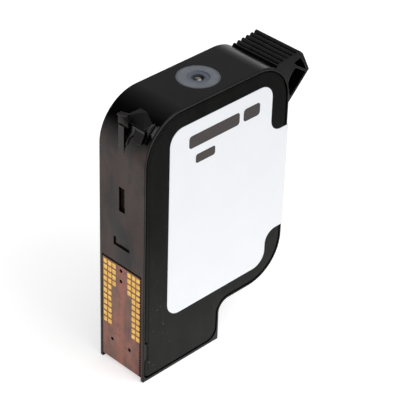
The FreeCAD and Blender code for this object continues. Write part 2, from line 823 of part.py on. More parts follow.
def rounded_sheet(name, side, distance, thickness, margin):
    """Rounded flat sheet whose inner face lies at a distance from the middle plane."""
    body = new_body(name)
    toward_left = side == "left"
    level = f"0 - ({distance})" if toward_left else distance
    sketch = new_sketch(body, f"{name}_outline", "XZ_Plane", level)
    add_outline(sketch, plate_outline(margin))
    pad(body, sketch, thickness, flip=toward_left)
    return body


def pressure_plate(side):
    distance = "liner_half - plate_gap - guard_thickness - plate_thickness"
    return rounded_sheet(f"{side}_pressure_plate", side, distance, "plate_thickness", "0")


def edge_guard(side):
    """Thin sheet that keeps the plate's edge off the film."""
    return rounded_sheet(f"{side}_edge_guard", side, "liner_half - plate_gap - guard_thickness",
                         "guard_thickness", "guard_margin")


def spring_lens(name, reach, half, width):
    """Lens between two cylinders across X, twice the reach thick and twice the half length tall."""
    radius = f"(({half}) * ({half}) + ({reach}) * ({reach})) / (2 * ({reach}))"
    walls = []
    for sign in ("+", "-"):
        wall = DOC.addObject("Part::Cylinder", f"{name}_{'left' if sign == '+' else 'right'}")
        bind(wall, "Radius", radius)
        bind(wall, "Height", width)
        wall.Placement = Placement(Vector(0, 0, 0), Rotation(Vector(0, 1, 0), 90))
        bind(wall, "Placement.Base.x", f"(plate_front + plate_back - ({width})) / 2")
        bind(wall, "Placement.Base.y", f"0 {sign} (({radius}) - ({reach}))")
        bind(wall, "Placement.Base.z", "(plate_low + plate_high) / 2")
        walls.append(wall)
    lens = DOC.addObject("Part::MultiCommon", name)
    lens.Shapes = walls
    return lens


def bow_spring():
    """Closed bow of spring strip that pushes the two pressure plates apart."""
    reach = "liner_half - plate_gap - guard_thickness - plate_thickness"
    outer = spring_lens("spring_outside", reach, "spring_half_length", "spring_width")
    inner = spring_lens("spring_inside", f"{reach} - spring_thickness",
                        "spring_half_length - spring_tip", "spring_width + overlap * 2")
    spring = DOC.addObject("Part::Cut", "bow_spring")
    spring.Base = outer
    spring.Tool = inner
    return spring


def filter_carrier():
    """Frame that stands on the standpipe and holds a screen on each side."""
    body = new_body("filter_carrier")
    floor = "belly_height + belly_wall + liner_wall"
    block = new_sketch(body, "carrier_block", "XY_Plane", floor)
    add_outline(block, box_corners("filter_front", "filter_back", "0 - filter_half", "filter_half"))
    pad(body, block, "filter_height")
    window = new_sketch(body, "carrier_window", "XZ_Plane")
    add_outline(window, box_corners("filter_front + filter_border", "filter_back - filter_border",
                                    f"{floor} + filter_border", f"{floor} + filter_height - filter_border"))
    pocket(body, window, "filter_half * 3", middle=True)
    outlet = new_sketch(body, "carrier_outlet", "XY_Plane", floor)
    add_outline(outlet, box_corners("pipe_front + pipe_bore_margin", "pipe_back - pipe_bore_margin",
                                    "0 - pipe_bore_half", "pipe_bore_half"))
    pocket(body, outlet, "filter_border + overlap", flip=True)
    return body


def filter_screen(side):
    """Steel mesh welded over the window of the filter carrier."""
    body = new_body(f"{side}_filter_screen")
    toward_left = side == "left"
    floor = "belly_height + belly_wall + liner_wall"
    level = "0 - filter_half" if toward_left else "filter_half"
    sheet = new_sketch(body, f"{side}_screen_sheet", "XZ_Plane", level)
    add_outline(sheet, box_corners("filter_front + screen_inset", "filter_back - screen_inset",
                                   f"{floor} + screen_inset", f"{floor} + filter_height - screen_inset"))
    pad(body, sheet, "screen_thickness", flip=toward_left)
    return body


def fill_ball():
    """Steel ball that plugs the filling port."""
    ball = DOC.addObject("Part::Sphere", "fill_ball")
    bind(ball, "Radius", "port_radius")
    bind(ball, "Placement.Base.z", "case_height - boss_dish_depth - ball_depth - port_radius")
    return ball


def ink_slot_corners():
    """Slot along the middle of the print head that feeds the die."""
    return box_corners("die_front + ink_slot_margin", "die_front + die_length - ink_slot_margin",
                       "0 - ink_slot_half", "ink_slot_half")


def head_layer(name, low, thickness, half, slot):
    """One flat layer of the printhead, optionally with the ink slot through it."""
    body = new_body(name)
    sheet = new_sketch(body, f"{name}_outline", "XY_Plane", low)
    add_outline(sheet, box_corners("die_front", "die_front + die_length", f"0 - {half}", half))
    pad(body, sheet, thickness)
    if slot:
        ink = new_sketch(body, f"{name}_slot", "XY_Plane", low)
        add_outline(ink, ink_slot_corners())
        pocket(body, ink, f"{thickness} + overlap / 5", flip=True)
    return body


def print_head():
    """Nozzle plate, barrier, silicon die and bond, from the underside up."""
    plate_low = "foot_bed_height - nozzle_plate_thickness"
    barrier_low = f"{plate_low} + nozzle_plate_thickness"
    die_low = f"{barrier_low} + barrier_thickness"
    bond_low = f"{die_low} + die_thickness"
    return [head_layer("nozzle_plate", plate_low, "nozzle_plate_thickness", "die_half", False),
            head_layer("ink_barrier", barrier_low, "barrier_thickness", "die_half", True),
            head_layer("printhead_die", die_low, "die_thickness", "die_half", True),
            head_layer("die_bond", bond_low, "bond_thickness", "die_half", True)]


def encapsulant_bead(name, start):
    """Bead of sealant over the bond leads at one end of the die."""
    body = new_body(name)
    section = new_sketch(body, f"{name}_section", "XZ_Plane")
    low = "foot_bed_height - bead_drop"
    add_outline(section, [(start, "foot_bed_height"), (f"{start} + bead_slope", f"{low} + bead_shoulder"),
                          (f"{start} + bead_flat_start", low),
                          (f"{start} + bead_length - bead_flat_start", low),
                          (f"{start} + bead_length - bead_slope", f"{low} + bead_shoulder"),
                          (f"{start} + bead_length", "foot_bed_height")])
    pad(body, section, "die_half * 2", middle=True)
    return body


def window_start():
    return "die_front - bead_length - die_clearance"


def window_end():
    return "die_front + die_length + bead_length + die_clearance"


def flex_circuit():
    """Polyimide circuit: down the front face, round the toe and under the snout."""
    body = new_body("flex_circuit")
    section = new_sketch(body, "flex_section", "XZ_Plane")
    outer = "flex_bed_depth - flex_thickness"
    under = "foot_bed_height - flex_thickness"
    add_outline(section, [(outer, "flex_top"), (outer, under, "bed_corner + flex_thickness"),
                          ("flex_end", under), ("flex_end", "foot_bed_height"),
                          ("flex_bed_depth", "foot_bed_height", "bed_corner"),
                          ("flex_bed_depth", "flex_top")])
    pad(body, section, "flex_half * 2", middle=True)
    window = new_sketch(body, "flex_window", "XY_Plane")
    add_outline(window, box_corners(window_start(), window_end(), "0 - window_half", "window_half"))
    pocket(body, window, "foot_bed_height + overlap / 2", flip=True)
    holes = new_sketch(body, "flex_holes", "YZ_Plane")
    for across, up in flex_hole_places():
        add_circle(holes, across, up, "flex_hole_radius")
    pocket(body, holes, "flex_bed_depth + overlap / 2", flip=True)
    return body


def pad_places():
    """(column, row) of each contact: two full columns of eleven and a short inner one of four."""
    places = []
    for column, rows in enumerate((11, 11, 4)):
        places += [(column, row) for row in range(rows)]
    return places


def contact_pads(side):
    """One side's gold contacts, as separate small plates on the flex circuit."""
    sign = "+" if side == "left" else "-"
    plates = []
    for column, row in pad_places():
        plate = DOC.addObject("Part::Box", f"{side}_pad_{column}_{row}")
        bind(plate, "Length", "pad_height")
        bind(plate, "Width", "pad_width")
        bind(plate, "Height", "pad_length")
        centre = f"(pad_column_first - pad_column_pitch * {column})"
        bind(plate, "Placement.Base.x", "flex_bed_depth - flex_thickness - pad_height")
        bind(plate, "Placement.Base.y", f"0 {sign} {centre} - pad_width / 2")
        bind(plate, "Placement.Base.z", f"pad_row_first - pad_row_pitch * {row} - pad_length / 2")
        plates.append(plate)
    group = DOC.addObject("Part::Compound", f"{side}_contact_pads")
    group.Links = plates
    return group


def label():
    """Thin label on the right side whose band wraps round the back to the left side."""
    body = new_body("label")
    face = new_sketch(body, "label_face", "XZ_Plane", "case_width / 2")
    add_outline(face, [(across, up, "label_corner") for across, up in
                       box_corners("label_front", "label_back", "label_low", "label_high")])
    pad(body, face, "label_thickness")
    band = new_sketch(body, "label_band", "XZ_Plane", "case_width / 2")
    add_outline(band, box_corners("label_back - label_lap", "case_depth + label_thickness", "label_band_low",
                                  "label_band_high"))
    pad(body, band, "label_thickness")
    round_corners(body, [("label_back", "label_band_low", "label_fillet"),
                         ("label_back", "label_band_high", "label_fillet")])
    spine = new_sketch(body, "label_spine", "YZ_Plane", "case_depth")
    add_outline(spine, box_corners("0 - case_width / 2", "case_width / 2", "label_band_low",
                                   "label_band_high"))
    pad(body, spine, "label_thickness")
    far = new_sketch(body, "label_far_flap", "XZ_Plane", "0 - case_width / 2")
    add_outline(far, box_corners("case_depth - label_far_reach", "case_depth + label_thickness",
                                 "label_band_low", "label_band_high"))
    pad(body, far, "label_thickness", flip=True)
    return body


def build():
    fill_sheet()
    parts = [outer_frame(), inner_frame(), side_cover("left"), side_cover("right"), label(),
             bag_film("left"), bag_film("right"), pressure_plate("left"), pressure_plate("right"),
             edge_guard("left"), edge_guard("right"), bow_spring(), filter_carrier(),
             filter_screen("left"), filter_screen("right"), fill_ball()]
    parts += print_head()
    parts += [encapsulant_bead("front_encapsulant", window_start()),
              encapsulant_bead("rear_encapsulant", "die_front + die_length + die_clearance"),
              flex_circuit(), contact_pads("left"), contact_pads("right")]
    return parts


def place(part):
    """Move a finished sub-part so that the whole object is centred on X."""
    start = "boss_x" if part.Label == "fill_ball" else "0"
    bind(part, "Placement.Base.x", f"{start} - overall_length / 2")


def write(parts):
    os.makedirs("parts", exist_ok=True)
    for part in parts:
        part.Shape.exportStep(f"parts/{part.Label}.step")


def check(parts):
    for item in DOC.Objects:
        if "Invalid" in item.State or "Error" in item.State:
            raise RuntimeError(f"{item.Label} is in state {item.State}")
    for part in parts:
        if part.Shape.isNull() or not part.Shape.isValid():
            raise RuntimeError(f"{part.Label} has no valid shape")


PARTS = build()
for piece in PARTS:
    place(piece)
DOC.recompute()
check(PARTS)
write(PARTS)
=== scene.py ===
import math

import bmesh
import bpy
from mathutils import Matrix, Vector


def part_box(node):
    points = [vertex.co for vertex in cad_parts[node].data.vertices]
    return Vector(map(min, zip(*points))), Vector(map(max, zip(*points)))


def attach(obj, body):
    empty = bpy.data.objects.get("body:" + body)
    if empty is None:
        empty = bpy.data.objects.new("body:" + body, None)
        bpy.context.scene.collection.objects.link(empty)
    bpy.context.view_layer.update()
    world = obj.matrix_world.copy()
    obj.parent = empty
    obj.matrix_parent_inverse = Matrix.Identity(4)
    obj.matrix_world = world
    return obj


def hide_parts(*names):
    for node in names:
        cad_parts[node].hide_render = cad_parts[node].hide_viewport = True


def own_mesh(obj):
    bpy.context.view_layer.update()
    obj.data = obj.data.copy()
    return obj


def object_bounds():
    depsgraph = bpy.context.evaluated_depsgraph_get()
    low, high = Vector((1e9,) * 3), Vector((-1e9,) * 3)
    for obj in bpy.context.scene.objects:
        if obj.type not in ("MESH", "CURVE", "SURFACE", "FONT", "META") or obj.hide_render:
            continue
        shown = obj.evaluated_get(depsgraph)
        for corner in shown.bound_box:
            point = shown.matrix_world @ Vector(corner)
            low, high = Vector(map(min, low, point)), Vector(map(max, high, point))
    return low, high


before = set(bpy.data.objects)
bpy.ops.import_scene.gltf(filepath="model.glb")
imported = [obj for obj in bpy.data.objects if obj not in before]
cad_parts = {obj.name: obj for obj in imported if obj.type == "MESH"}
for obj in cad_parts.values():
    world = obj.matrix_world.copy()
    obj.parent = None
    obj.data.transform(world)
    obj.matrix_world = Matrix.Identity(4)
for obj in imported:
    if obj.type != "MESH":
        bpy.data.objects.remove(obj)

CAD_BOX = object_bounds()
MM = 0.001
FRONT = CAD_BOX[0].x                     # plane of the contact face
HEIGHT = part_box("inner_frame")[1].z      # top of the case
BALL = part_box("fill_ball")
BOSS_CENTRE = (BALL[0] + BALL[1]) / 2

# Places and sizes on the case, in mm: X from the contact face, Y from the middle plane, Z from the foot.
SEAT_LEVEL = 8.0                         # the cover seats lie within this distance of the middle plane
RIB_PLACES = (-8.2, -6.7)                # middles of the two crush ribs (Y)
RIB_HALF = 0.25                          # half of a rib's width
RIB_START, RIB_END = 2.6, 5.4            # ends of the ribs (X)
RIB_LOW = 79.2                           # underside of the ribs (Z)
HOLE_SPOTS = ((3.8, 8.5), (-3.2, 8.5))   # lower locating holes of the flex circuit (Y, Z)
HOLE_RING = 1.15                         # radius of the pale ring round each of them
STREAK_HALF = 1.7                        # half width of the film's pink streak
STREAK_SWAY = 1.6                        # how far the streak wanders over the film's height
GREYER_LOW = 15                          # beside the streak the film turns greyer from here up (Z)
RED_ACROSS, RED_UP = 4.2, 13             # reach of the redder corner from the film's near lower corner
COLUMNS_START, COLUMNS_LOW = 4.1, 13.3   # gilded ground: its inner edge (Y) and lower edge (Z)
INNER_START, INNER_LOW = 2.35, 27.0      # the same for the short inner columns above it
TRACK_PITCH = 0.25                       # from one copper track under the film to the next
DASH_PITCH = 0.9                         # painted shadow in dashes down the film's near edge
WIRE_PITCH = 0.06                        # length of one wave of the filter cloth's wires
BOSS_RADIUS = 6.2                        # reach of the filling boss's zones from its axis
PAD_CORNER = 0.24                        # corner radius of a contact at its foot
# steps of a contact from its foot to its middle: share of its half size, height above the foot
PAD_PROFILE = ((1.0, 0.0), (1.0, 0.03), (0.95, 0.055), (0.84, 0.06), (0.6, 0.045), (0.25, 0.035))
NOZZLES_IN_ROW = 75
NOZZLE_SIDES = 10                        # corners of an opening's outline
NOZZLE_RADIUS = 0.032
NOZZLE_ROW_GAP = 4.0                     # between the middles of the two rows
NOZZLE_SHARE = 0.9                       # share of the plate's length that a row takes
NOZZLE_LEVELS = (-0.002, 0.003)          # an opening's dark disc, from within the plate to just below it
INK_LEVELS = (-0.01, 0.012)              # the label's printing, from within the label to just outside it
# plain bars on the label: left and right (X), low and high (Z)
PRINT_BARS = {
    "label_bar_long": (15.7, 34.5, 70.3, 74.2),
    "label_bar_short": (36.0, 42.3, 70.3, 74.2),
    "label_bar_small": (18.3, 25.5, 64.9, 67.7),
}

# Scene-linear colours on the black plastic: a painted highlight, a painted warm reflection, painted floor
# light and dust specks.
# painted highlight: pale lines on the two crush ribs
PAINTED_RIB_HIGHLIGHT = (0.11, 0.11, 0.11)
# painted warm reflection: brown tint on the contact face
PAINTED_WARM_REFLECTION = (0.032, 0.0125, 0.008)
# painted floor light: the covers turn lighter towards the bottom
PAINTED_FLOOR_LIGHT = (0.02, 0.0195, 0.0185)
DUST_SPECK = (0.35, 0.34, 0.32)


# ---------------------------------------------------------------- shader helpers

class Shader:
    """A node material with one Principled shader and object-space texture coordinates."""

    def __init__(self, name, **inputs):
        self.material = bpy.data.materials.new(name)
        self.material.use_nodes = True
        self.tree = self.material.node_tree
        self.surface = self.tree.nodes["Principled BSDF"]
        self.coords = self.tree.nodes.new("ShaderNodeTexCoord").outputs["Object"]
        self.set(**inputs)

    def add(self, kind, **values):
        """A new node; values set its sockets by name, or its properties where no socket has that name."""
        made = self.tree.nodes.new("ShaderNode" + kind)
        for key, value in values.items():
            name = key if key in made.inputs else key.replace("_", " ")
            if name in made.inputs:
                self.feed(made.inputs[name], value)
            else:
                setattr(made, key, value)
        return made

    def feed(self, socket, value):
        """Link a socket to another node's output, or set its plain value."""
        if isinstance(value, bpy.types.NodeSocket):
            self.tree.links.new(value, socket)
        elif socket.type == "RGBA" and len(value) == 3:
            socket.default_value = (*value, 1)
        else:
            socket.default_value = value

    def set(self, **inputs):
        """Feed inputs of the Principled shader by name."""
        for key, value in inputs.items():
            self.feed(self.surface.inputs[key.replace("_", " ")], value)

    def noise(self, per_metre, detail=3.0, roughness=0.55, stretch=(1, 1, 1)):
        """Noise with about that many features a metre, optionally stretched along an axis."""
        place = self.add("Mapping", Vector=self.coords, Scale=stretch)
        made = self.add("TexNoise", Vector=place.outputs["Vector"], Scale=per_metre, Detail=detail,
                        Roughness=roughness)
        return made.outputs["Fac"]

    def ramp(self, fac, *stops):
        """Colour ramp of (position, colour) stops."""
        made = self.add("ValToRGB", Fac=fac)
        points = made.color_ramp.elements
        while len(points) < len(stops):
            points.new(0.5)
        for point, (position, colour) in zip(points, stops):
            point.position = position
            point.color = (*colour[:3], 1)
        return made.outputs["Color"]

    def math(self, operation, a, b=0.0):
        """Result of one Math node."""
        made = self.add("Math", operation=operation)
        self.feed(made.inputs[0], a)
        self.feed(made.inputs[1], b)
        return made.outputs[0]

    def product(self, first, *others):
        """All the values multiplied together."""
        for other in others:
            first = self.math("MULTIPLY", first, other)
        return first

    def span(self, fac, low, high, start=0.0, end=1.0):
        """A value that goes from low to high as fac goes from start to end."""
        made = self.add("MapRange", Value=fac, interpolation_type="SMOOTHSTEP")
        for name, value in (("From Min", start), ("From Max", end), ("To Min", low), ("To Max", high)):
            self.feed(made.inputs[name], value)
        return made.outputs["Result"]

    def mix(self, fac, a, b, blend="MIX"):
        """Colour a where fac is 0, and b, or a blended with b, where it is 1."""
        made = self.add("Mix", data_type="RGBA", blend_type=blend)
        self.feed(made.inputs[0], fac)
        self.feed(made.inputs[6], a)
        self.feed(made.inputs[7], b)
        return made.outputs[2]

    def bump(self, height, depth_mm, normal=None, strength=1.0):
        """Shading normal of a relief of that depth."""
        made = self.add("Bump", Height=height, Distance=depth_mm * MM, Strength=strength)
        if normal is not None:
            self.feed(made.inputs["Normal"], normal)
        return made.outputs["Normal"]

    def wave(self, along, pitch_mm):
        """Sine wave along a coordinate."""
        return self.math("SINE", self.product(along, math.tau / (pitch_mm * MM)))

    def rounded(self, radius_mm):
        """Shading normal of edges rounded by a radius."""
        return self.add("Bevel", samples=6, Radius=radius_mm * MM).outputs["Normal"]

    def edge_wear(self, radius_mm):
        """1 where the surface turns within the radius, 0 on open faces."""
        made = self.add("VectorMath", operation="DOT_PRODUCT")
        self.feed(made.inputs[0], self.rounded(radius_mm))
        self.feed(made.inputs[1], self.add("NewGeometry").outputs["Normal"])
        turned = self.math("SUBTRACT", 1.0, made.outputs["Value"])
        return self.math("MINIMUM", self.product(turned, 6.0), 1.0)

    def axis(self, name):
        """One object coordinate, in metres."""
        return self.add("SeparateXYZ", Vector=self.coords).outputs[name]

    def facing(self, name):
        """One component of the surface's true direction, from -1 to 1."""
        return self.add("SeparateXYZ", Vector=self.add("NewGeometry").outputs["Normal"]).outputs[name]

    def from_line(self, across, up, drop="Z"):
        """Distance from a line along the dropped axis; across and up are its two other coordinates."""
        others = [letter for letter in "XYZ" if letter != drop]
        squares = []
        for letter, middle in zip(others, (across, up)):
            offset = self.math("SUBTRACT", self.axis(letter), middle)
            squares.append(self.product(offset, offset))
        return self.math("SQRT", self.math("ADD", *squares))


def linear(r, g, b):
    """Scene-linear colour from sRGB values of 0 to 255."""
    return tuple(c / 12.92 if c <= 0.04045 else ((c + 0.055) / 1.055) ** 2.4
                 for c in (r / 255, g / 255, b / 255))


def scaled(colour, factor):
    """A lighter or darker colour."""
    return tuple(c * factor for c in colour)


# ---------------------------------------------------------------- materials

def painted_warm_reflection(shader, tone):
    """Painted warm reflection: a smeared brown tint over the case's bare contact face."""
    flat = shader.span(shader.facing("X"), 1.0, 0.0, -1.0, -0.75)
    on_face = shader.span(shader.axis("X"), 1.0, 0.0, FRONT + 0.2 * MM, FRONT + 2 * MM)
    smear = shader.span(shader.noise(140, 6, 0.66, (1, 1, 0.5)), 0.12, 1.0, 0.4, 0.6)
    return shader.mix(shader.product(flat, on_face, smear), tone, PAINTED_WARM_REFLECTION)


def painted_recess_shade(shader):
    """1 on faces of the case that look sideways from within its width: cover seats, grip hollows, lug;
    moulded_black cuts their reflection there as painted shade.
    """
    sideways = shader.span(shader.math("ABSOLUTE", shader.facing("Y")), 0.0, 1.0, 0.5, 0.8)
    out_from_middle = shader.math("ABSOLUTE", shader.axis("Y"))
    inner = shader.span(out_from_middle, 1.0, 0.0, SEAT_LEVEL * MM, (SEAT_LEVEL + 0.3) * MM)
    return shader.product(sideways, inner)


def painted_rib_highlights(shader, tone):
    """Painted highlights: pale lines on the two crush ribs of the front corner."""
    x, y, z = (shader.axis(letter) for letter in "XYZ")
    gaps = [shader.math("ABSOLUTE", shader.math("SUBTRACT", y, place * MM)) for place in RIB_PLACES]
    on_rib = shader.span(shader.math("MINIMUM", *gaps), 1.0, 0.0,
                         (RIB_HALF - 0.05) * MM, (RIB_HALF + 0.05) * MM)
    past_start = shader.span(x, 0.0, 1.0, FRONT + (RIB_START - 0.2) * MM, FRONT + (RIB_START + 0.3) * MM)
    before_end = shader.span(x, 1.0, 0.0, FRONT + (RIB_END - 0.2) * MM, FRONT + (RIB_END + 0.2) * MM)
    high = shader.span(z, 0.0, 1.0, (RIB_LOW - 0.3) * MM, (RIB_LOW + 0.2) * MM)
    highlight_breakup = shader.span(shader.noise(2200, 4), 0.3, 1.0, 0.4, 0.6)
    return shader.mix(shader.product(on_rib, past_start, before_end, high, highlight_breakup), tone, PAINTED_RIB_HIGHLIGHT)


def moulded_black(name, colour, roughness, gloss, worn, floor_light_and_dust=0.0):
    """Black moulding with spark-eroded grain and worn edges: dust specks and painted floor light low down, or
    a painted warm reflection on the contact face, painted highlights on the crush ribs and painted shade in
    recesses.
    """
    shader = Shader(name, IOR=1.5)
    cloud = shader.noise(55, 4)
    tone = shader.ramp(cloud, (0.3, scaled(colour, 0.7)), (0.7, scaled(colour, 1.3)))
    if floor_light_and_dust:
        # painted floor light: the covers turn lighter towards the bottom
        low_down = shader.span(shader.axis("Z"), 1.0, 0.0, 6 * MM, 62 * MM)
        film = shader.product(low_down, shader.span(shader.noise(160, 5, 0.6), 0.6, 1.0))
        tone = shader.mix(film, tone, PAINTED_FLOOR_LIGHT)
    else:
        # painted warm reflection on the contact face, then painted highlights on the crush ribs
        tone = painted_rib_highlights(shader, painted_warm_reflection(shader, tone))
    wear = shader.product(shader.edge_wear(0.22), shader.span(shader.noise(500, 3), 0.35, 1.0))
    tone = shader.mix(wear, tone, worn)
    low_spots = shader.span(shader.axis("Z"), 1.0, 0.1, 12 * MM, 40 * MM)
    patch = shader.span(shader.noise(70, 2), 0.0, 1.0, 0.42, 0.7)
    speck = shader.span(shader.noise(1500, 1, 0.3), 0.0, floor_light_and_dust, 0.72, 0.8)
    tone = shader.mix(shader.product(speck, patch, low_spots), tone, DUST_SPECK)
    smear = shader.noise(130, 5, 0.6, (1, 1, 0.35))
    shader.set(Base_Color=tone)
    shader.set(Roughness=shader.span(smear, roughness - 0.04, roughness + 0.08, 0.35, 0.65))
    level = shader.span(smear, gloss * 1.15, gloss * 0.85, 0.3, 0.7)
    # painted shade: reflections cut on the cover seats, grip hollows and lug side of the case
    if not floor_light_and_dust:
        level = shader.product(level, shader.span(painted_recess_shade(shader), 1.0, 0.15))
    shader.set(Specular_IOR_Level=level)
    shader.set(Normal=shader.bump(shader.noise(7000, 2), 0.006, shader.rounded(0.14), 0.5))
    return shader.material


def label_white():
    """White polyester label with a faint blue tint and a soft satin face; painted shade darkens its edges."""
    shader = Shader("label_white", IOR=1.45, Specular_IOR_Level=0.25)
    mottle = shader.noise(90, 4)
    tone = shader.ramp(mottle, (0.35, linear(231, 233, 236)), (0.65, linear(233, 235, 238)))
    # painted shade: the label darkens at its edges
    edge = shader.edge_wear(0.2)
    shader.set(Base_Color=shader.mix(edge, tone, linear(206, 208, 212)))
    shader.set(Roughness=shader.span(shader.noise(1200, 3), 0.46, 0.56))
    shader.set(Normal=shader.bump(shader.noise(3000, 3), 0.003, shader.rounded(0.06)))
    return shader.material


def label_ink():
    """Charcoal printing ink with a slightly uneven lay."""
    shader = Shader("label_ink", IOR=1.45, Specular_IOR_Level=0.3)
    lay = shader.noise(1800, 4, 0.6)
    shader.set(Base_Color=shader.ramp(lay, (0.3, linear(52, 47, 46)), (0.7, linear(74, 68, 66))))
    shader.set(Roughness=shader.span(lay, 0.4, 0.55))
    shader.set(Normal=shader.bump(lay, 0.004, shader.rounded(0.02)))
    return shader.material


def boss_plastic():
    """Milky blue-grey plastic of the liner; the dished middle of the boss is darker."""
    shader = Shader("boss_plastic", IOR=1.5, Specular_IOR_Level=0.4, Subsurface_Weight=0.15)
    shader.set(Subsurface_Radius=(0.0008, 0.001, 0.0013))
    away = shader.from_line(BOSS_CENTRE.x, BOSS_CENTRE.y)
    zone = shader.ramp(shader.span(away, 0, 1, 0, BOSS_RADIUS * MM),
                       (0.16, linear(60, 64, 74)), (0.3, linear(96, 101, 112)),
                       (0.48, linear(98, 103, 114)), (0.6, linear(112, 116, 124)),
                       (0.93, linear(118, 122, 128)), (1.0, linear(84, 88, 94)))
    swirl = shader.noise(420, 5, 0.6, (1, 1, 0.3))
    at_top = shader.span(shader.axis("Z"), 0.0, 1.0, HEIGHT - 3 * MM, HEIGHT - 2.5 * MM)
    zone = shader.mix(at_top, linear(96, 101, 110), zone)
    milk = shader.ramp(swirl, (0.3, (0.35, 0.36, 0.38)), (0.7, (0.62, 0.63, 0.65)))
    shader.set(Base_Color=shader.mix(0.5, zone, milk, "OVERLAY"))
    shader.set(Roughness=shader.span(shader.noise(500, 3), 0.34, 0.46))
    shader.set(Normal=shader.bump(swirl, 0.02, shader.rounded(0.18)))
    return shader.material


def metal(name, colour, roughness, grain=(1, 1, 1)):
    """Metal with fine grain lines, smudges and rounded edges."""
    shader = Shader(name, Metallic=1.0)
    lines = shader.noise(2600, 3, 0.6, grain)
    smudge = shader.noise(260, 4)
    shader.set(Base_Color=shader.mix(smudge, scaled(colour, 0.86), colour))
    shader.set(Roughness=shader.math("ADD", shader.span(lines, roughness - 0.05, roughness + 0.06),
                                     shader.span(smudge, 0.0, 0.05)))
    shader.set(Normal=shader.bump(lines, 0.003, shader.rounded(0.05)))
    return shader.material


def gold_plate():
    """Unevenly toned gold contact plating, with a fine grain and a few pale rubs."""
    shader = Shader("gold_plate", Metallic=0.85, Specular_IOR_Level=0.6)
    shade = shader.noise(900, 4, 0.6)
    tone = shader.ramp(shade, (0.25, linear(196, 142, 62)), (0.5, linear(226, 180, 96)),
                       (0.75, linear(246, 216, 140)))
    shader.set(Base_Color=tone)
    shader.set(Roughness=shader.span(shader.noise(2600, 3), 0.26, 0.44))
    shader.set(Normal=shader.bump(shader.noise(2400, 3), 0.012, shader.rounded(0.1)))
    return shader.material


def film_tone(shader, y, z, low):
    """Mottled brown of the film: a pink streak up the middle, greyer beside it, redder in one corner."""
    cloud = shader.noise(260, 5, 0.66, (1, 1, 0.45))
    tone = shader.ramp(cloud, (0.34, linear(100, 68, 56)), (0.5, linear(132, 80, 63)),
                       (0.66, linear(158, 96, 76)))
    sway = shader.product(shader.math("SUBTRACT", shader.noise(60, 2), 0.5), STREAK_SWAY * MM)
    off_streak = shader.math("ABSOLUTE", shader.math("SUBTRACT", y, sway))
    streak = shader.span(off_streak, 0.65, 0.0, 0.0, STREAK_HALF * MM)
    tone = shader.mix(streak, tone, linear(162, 92, 72))
    past_streak = shader.span(off_streak, 0.0, 0.6, (STREAK_HALF - 0.1) * MM, (STREAK_HALF + 0.9) * MM)
    high_up = shader.span(z, 0.0, 1.0, GREYER_LOW * MM, (GREYER_LOW + 7) * MM)
    tone = shader.mix(shader.product(past_streak, high_up), tone, linear(112, 86, 72))
    corner = shader.product(shader.span(y, 1.0, 0.0, low.y, low.y + RED_ACROSS * MM),
                            shader.span(z, 1.0, 0.0, low.z, low.z + RED_UP * MM))
    return shader.mix(corner, tone, linear(104, 38, 24))


def hole_rings(shader, tone):
    """Faint pale ring round each lower locating hole."""
    for across, up in HOLE_SPOTS:
        away = shader.from_line(across * MM, up * MM, "X")
        off_ring = shader.math("ABSOLUTE", shader.math("SUBTRACT", away, HOLE_RING * MM))
        ring = shader.math("SUBTRACT", 1.0, shader.math("MINIMUM", 1.0, shader.product(off_ring, 2 / MM)))
        tone = shader.mix(shader.product(ring, 0.5), tone, linear(112, 104, 92))
    return tone


def contact_ground(shader, y, z):
    """Strength of the gilded ground between the contacts: columns down both sides, wider at the top."""
    inner_edge = shader.span(z, COLUMNS_START * MM, INNER_START * MM,
                             (INNER_LOW - 0.1) * MM, (INNER_LOW + 0.1) * MM)
    past_edge = shader.math("SUBTRACT", shader.math("ABSOLUTE", y), inner_edge)
    beside = shader.span(past_edge, 0.0, 0.8, -0.1 * MM, 0.1 * MM)
    high_up = shader.span(z, 0.0, 1.0, (COLUMNS_LOW - 0.2) * MM, (COLUMNS_LOW + 0.2) * MM)
    return shader.product(beside, high_up)


def flex_film():
    """Brown-pink film over fine copper tracks, with gilded ground between the contacts and painted shadow
    along its top and near edges.
    """
    shader = Shader("flex_film", IOR=1.55, Coat_Roughness=0.25)
    low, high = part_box("flex_circuit")
    y, z = shader.axis("Y"), shader.axis("Z")
    tone = hole_rings(shader, film_tone(shader, y, z, low))
    tracks = shader.wave(y, TRACK_PITCH)
    tone = shader.mix(shader.span(tracks, 0.0, 0.26, -0.2, 0.6), tone, linear(84, 42, 28))
    tone = shader.mix(contact_ground(shader, y, z), tone, linear(138, 88, 40))
    grime = shader.span(shader.noise(420, 5, 0.7), 0.0, 0.55, 0.5, 0.66)
    tone = shader.mix(grime, tone, linear(78, 58, 52))
    # painted shadow where the film meets the case: dashes down the near edge, a line along the top
    near_edge_shadow = shader.product(shader.span(y, 1.0, 0.0, low.y + 0.45 * MM, low.y + 0.75 * MM),
                         shader.span(shader.wave(z, DASH_PITCH), 0.5, 1.0, -0.6, 0.0))
    top_edge_shadow = shader.span(z, 0.0, 1.0, high.z - 0.7 * MM, high.z - 0.45 * MM)
    edge = shader.math("MAXIMUM", near_edge_shadow, top_edge_shadow)
    shader.set(Base_Color=shader.mix(edge, tone, linear(20, 9, 6)))
    shader.set(Specular_IOR_Level=shader.span(edge, 0.3, 0.02), Coat_Weight=shader.span(edge, 0.1, 0.0))
    shader.set(Roughness=shader.span(shader.noise(500, 4), 0.34, 0.5))
    height = shader.math("ADD", shader.product(tracks, 0.12), shader.noise(330, 3))
    shader.set(Normal=shader.bump(height, 0.03, shader.rounded(0.08), 0.7))
    return shader.material


